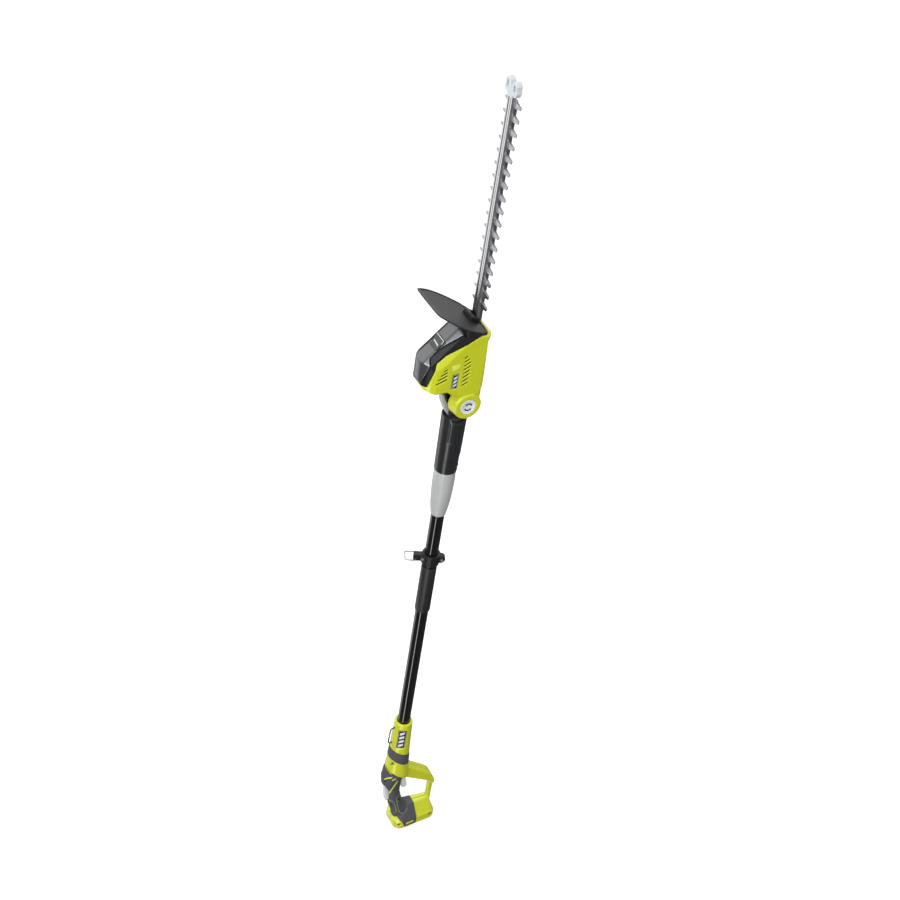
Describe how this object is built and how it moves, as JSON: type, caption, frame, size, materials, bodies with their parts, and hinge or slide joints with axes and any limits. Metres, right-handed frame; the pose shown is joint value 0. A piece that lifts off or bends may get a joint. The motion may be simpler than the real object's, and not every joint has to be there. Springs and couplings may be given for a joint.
{
  "type": "pole hedge trimmer",
  "caption": "Cordless pole hedge trimmer: looped rear handle with battery socket, black pole with strap clamp, twist collar, folding head with visor and double-sided reciprocating blade.",
  "frame": {"origin": "where the pole axis meets the flat underside of the battery foot, 9 mm behind the heel of that face", "axes": "+Z along the pole toward the blade; +X toward the hand-guard loop; -Y is the right-hand side, where the case screws of the handle enter"},
  "size_m": [0.205, 0.12, 1.8994],
  "materials": {
    "lime_shell": "moulded, satin",
    "soft_grip": "soft moulded rubber",
    "black_plastic": "fine moulded texture",
    "machined_steel": "machined steel",
    "bright_steel": "ground steel",
    "grey_plastic": "pale grey moulded plastic",
    "charcoal_plastic": "moulded, satin",
    "hood_finish": "metallic grey paint on plastic",
    "pole_finish": "gloss black",
    "wire_cover": "sheathed wires",
    "white_nose": "pale moulded plastic"
  },
  "bodies": {
    "handle": {"rear_handle_right_shell": "lime_shell", "rear_handle_left_shell": "lime_shell", "collar_band": "soft_grip", "grip_skin_right": "soft_grip", "grip_skin_left": "soft_grip", "collar_badge_plate": "black_plastic", "hang_loop": "black_plastic", "handle_screw_ring": "machined_steel", "handle_screw_heel": "machined_steel", "handle_screw_toe": "machined_steel", "handle_screw_grip": "machined_steel", "trigger_switch": "black_plastic", "battery_terminal_block": "black_plastic", "lower_tube": "pole_finish", "front_grip_sleeve": "black_plastic", "strap_clamp_front": "black_plastic", "strap_clamp_rear": "black_plastic", "clamp_screw_left": "bright_steel", "clamp_screw_right": "bright_steel", "pole_wire": "wire_cover", "lower_connector": "black_plastic"},
    "trigger": {"trigger": "grey_plastic"},
    "lock_off": {"lock_off_button": "grey_plastic"},
    "ring": {"strap_ring": "machined_steel"},
    "collar": {"coupling_collar": "grey_plastic"},
    "upper": {"sleeve_right_shell": "black_plastic", "sleeve_left_shell": "black_plastic", "sleeve_screw_low": "machined_steel", "sleeve_screw_high": "machined_steel", "upper_tube": "pole_finish", "upper_connector": "black_plastic", "pivot_yoke": "charcoal_plastic", "lever_pin": "machined_steel"},
    "lever": {"release_lever": "grey_plastic"},
    "head": {"head_right_shell": "lime_shell", "head_left_shell": "lime_shell", "head_belt": "black_plastic", "motor_hood": "hood_finish", "hood_badge_plate": "black_plastic", "head_badge_plate": "black_plastic", "blade_guard": "charcoal_plastic", "pivot_cap_right": "grey_plastic", "pivot_cap_left": "grey_plastic", "pivot_bolt": "machined_steel", "motor": "machined_steel", "gearbox_plate": "machined_steel", "blade_bar": "bright_steel", "tip_guard": "white_nose", "head_screw_spine": "machined_steel", "head_screw_nose": "machined_steel", "bar_bolt_1": "machined_steel", "bar_bolt_2": "machined_steel", "bar_bolt_3": "machined_steel", "bar_bolt_4": "machined_steel", "bar_bolt_5": "machined_steel", "bar_bolt_6": "machined_steel"},
    "pinion": {"motor_pinion": "machined_steel"},
    "gear": {"drive_gear": "machined_steel"},
    "upper_blade": {"upper_blade": "bright_steel"},
    "lower_blade": {"lower_blade": "bright_steel"}
  },
  "joints": [
    {"name": "trigger_pull", "type": "hinge", "parent": "handle", "child": "trigger", "pos_m": [0.014, 0, 0.16], "axis": [0, 1, 0], "range_deg": [0, 8], "stiffness_Nm_per_rad": 1.2, "springref_deg": -5.73},
    {"name": "lock_off_press", "type": "slide", "parent": "handle", "child": "lock_off", "axis": [1, 0, 0], "range_m": [0, 0.003], "stiffness_N_per_m": 600, "springref_m": -0.002},
    {"name": "ring_swing", "type": "hinge", "parent": "handle", "child": "ring", "pos_m": [-0.02764, 0.01289, 0.836], "axis": [0.4226, 0.9063, 0], "range_deg": [-70, 70]},
    {"name": "collar_twist", "type": "hinge", "parent": "handle", "child": "collar", "pos_m": [0, 0, 1.014], "axis": [0, 0, 1], "range_deg": [0, 90]},
    {"name": "upper_pull", "type": "slide", "parent": "handle", "child": "upper", "axis": [0, 0, 1], "range_m": [0, 0.12]},
    {"name": "lever_press", "type": "hinge", "parent": "upper", "child": "lever", "pos_m": [-0.015, 0, 1.216], "axis": [0, 1, 0], "range_deg": [0, 7], "stiffness_Nm_per_rad": 1, "springref_deg": -5.73},
    {"name": "head_fold", "type": "hinge", "parent": "upper", "child": "head", "pos_m": [0.004, 0, 1.247], "axis": [0, 1, 0], "range_deg": [0, 90]},
    {"name": "gear_spin", "type": "hinge", "parent": "head", "child": "gear", "pos_m": [0, 0, 1.3691], "axis": [1, 0, 0], "continuous": true},
    {"name": "pinion_spin", "type": "hinge", "parent": "head", "child": "pinion", "pos_m": [0, 0, 1.339], "axis": [1, 0, 0], "continuous": true},
    {"name": "upper_blade_slide", "type": "slide", "parent": "head", "child": "upper_blade", "axis": [0, 0, 1], "range_m": [-0.006, 0.006]},
    {"name": "lower_blade_slide", "type": "slide", "parent": "head", "child": "lower_blade", "axis": [0, 0, 1], "range_m": [-0.006, 0.006]}
  ],
  "couplings": [
    {"joint": "pinion_spin", "follows": "gear_spin", "ratio": -4},
    {"joint": "lower_blade_slide", "follows": "upper_blade_slide", "ratio": -1}
  ]
}
